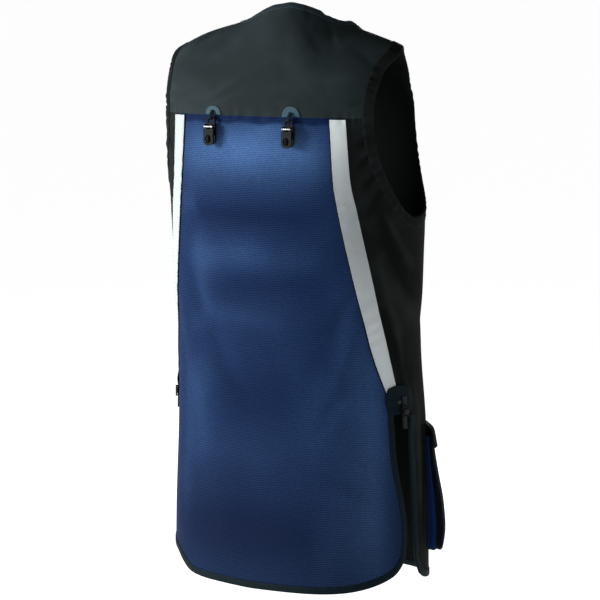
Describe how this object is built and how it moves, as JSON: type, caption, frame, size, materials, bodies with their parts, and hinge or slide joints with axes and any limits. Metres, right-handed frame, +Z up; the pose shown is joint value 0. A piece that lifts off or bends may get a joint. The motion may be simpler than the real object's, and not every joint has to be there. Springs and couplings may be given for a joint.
{
  "type": "shooting vest with a mesh back",
  "caption": "Sleeveless shooting vest in a hollow worn form: dark yoke, fronts and sides, blue mesh back, pale tapes, side vents with strap adjusters, bellows pockets and hanging clips.",
  "frame": {"origin": "middle of the shoulder line at the side of the neck, where the wearer's shoulders hold the vest", "axes": "+Z up, +Y out of the middle of the back, +X to the wearer's left"},
  "size_m": [0.3976, 0.2689, 0.7873],
  "materials": {
    "nylon": "crisp dark slate nylon with a soft sheen",
    "mesh": "open knitted polyester mesh, blue, matt",
    "binding": "dark teal woven binding tape",
    "tape": "pale grey ribbed webbing with a faint sheen",
    "bellows": "blue ribbed mesh of the pocket gusset",
    "plastic": "black moulded acetal",
    "steel": "bright pin",
    "zip": "black coil zip and painted slider"
  },
  "bodies": {
    "root": {"back_yoke": "nylon", "back_mesh_panel": "mesh", "back_hem_binding": "binding", "neck_binding": "binding", "back_side_panel_left": "nylon", "back_side_panel_right": "nylon", "front_panel_left": "nylon", "front_panel_right": "nylon", "front_hem_binding_left": "binding", "front_hem_binding_right": "binding", "armhole_band_left": "nylon", "armhole_band_right": "nylon", "back_tape_left": "tape", "back_tape_right": "tape", "adjuster_patch_left": "binding", "adjuster_patch_right": "binding", "adjuster_rivet_left": "plastic", "adjuster_rivet_right": "plastic", "adjuster_buckle_left": "plastic", "adjuster_buckle_right": "plastic", "adjuster_strap_left": "binding", "adjuster_strap_right": "binding", "pocket_gusset_left": "bellows", "pocket_gusset_right": "bellows", "pocket_face_left": "nylon", "pocket_face_right": "nylon", "pocket_flap_left": "nylon", "pocket_flap_right": "nylon", "clip_tab_left": "binding", "clip_tab_right": "binding", "clip_loop_left": "binding", "clip_loop_right": "binding", "front_zip": "zip", "zip_slider": "zip"},
    "clip_left": {"clip_body_left": "plastic", "clip_pin_left": "steel"},
    "clip_right": {"clip_body_right": "plastic", "clip_pin_right": "steel"},
    "lever_left": {"clip_lever_left": "plastic"},
    "lever_right": {"clip_lever_right": "plastic"},
    "pull": {"zip_pull": "zip"}
  },
  "joints": [
    {"name": "clip_swing_left", "type": "hinge", "parent": "root", "child": "clip_left", "pos_m": [0.062, 0.09872, -0.1345], "axis": [1, 0, 0], "range_deg": [0, 75]},
    {"name": "clip_swing_right", "type": "hinge", "parent": "root", "child": "clip_right", "pos_m": [-0.062, 0.09872, -0.1345], "axis": [1, 0, 0], "range_deg": [0, 75]},
    {"name": "clip_lever_left", "type": "hinge", "parent": "clip_left", "child": "lever_left", "pos_m": [0.062, 0.10252, -0.146], "axis": [1, 0, 0], "range_deg": [0, 60]},
    {"name": "clip_lever_right", "type": "hinge", "parent": "clip_right", "child": "lever_right", "pos_m": [-0.062, 0.10252, -0.146], "axis": [1, 0, 0], "range_deg": [0, 60]},
    {"name": "zip_pull_swing", "type": "hinge", "parent": "root", "child": "pull", "pos_m": [0, -0.12787, -0.17365], "axis": [-1, 0, 0], "range_deg": [0, 140]}
  ]
}
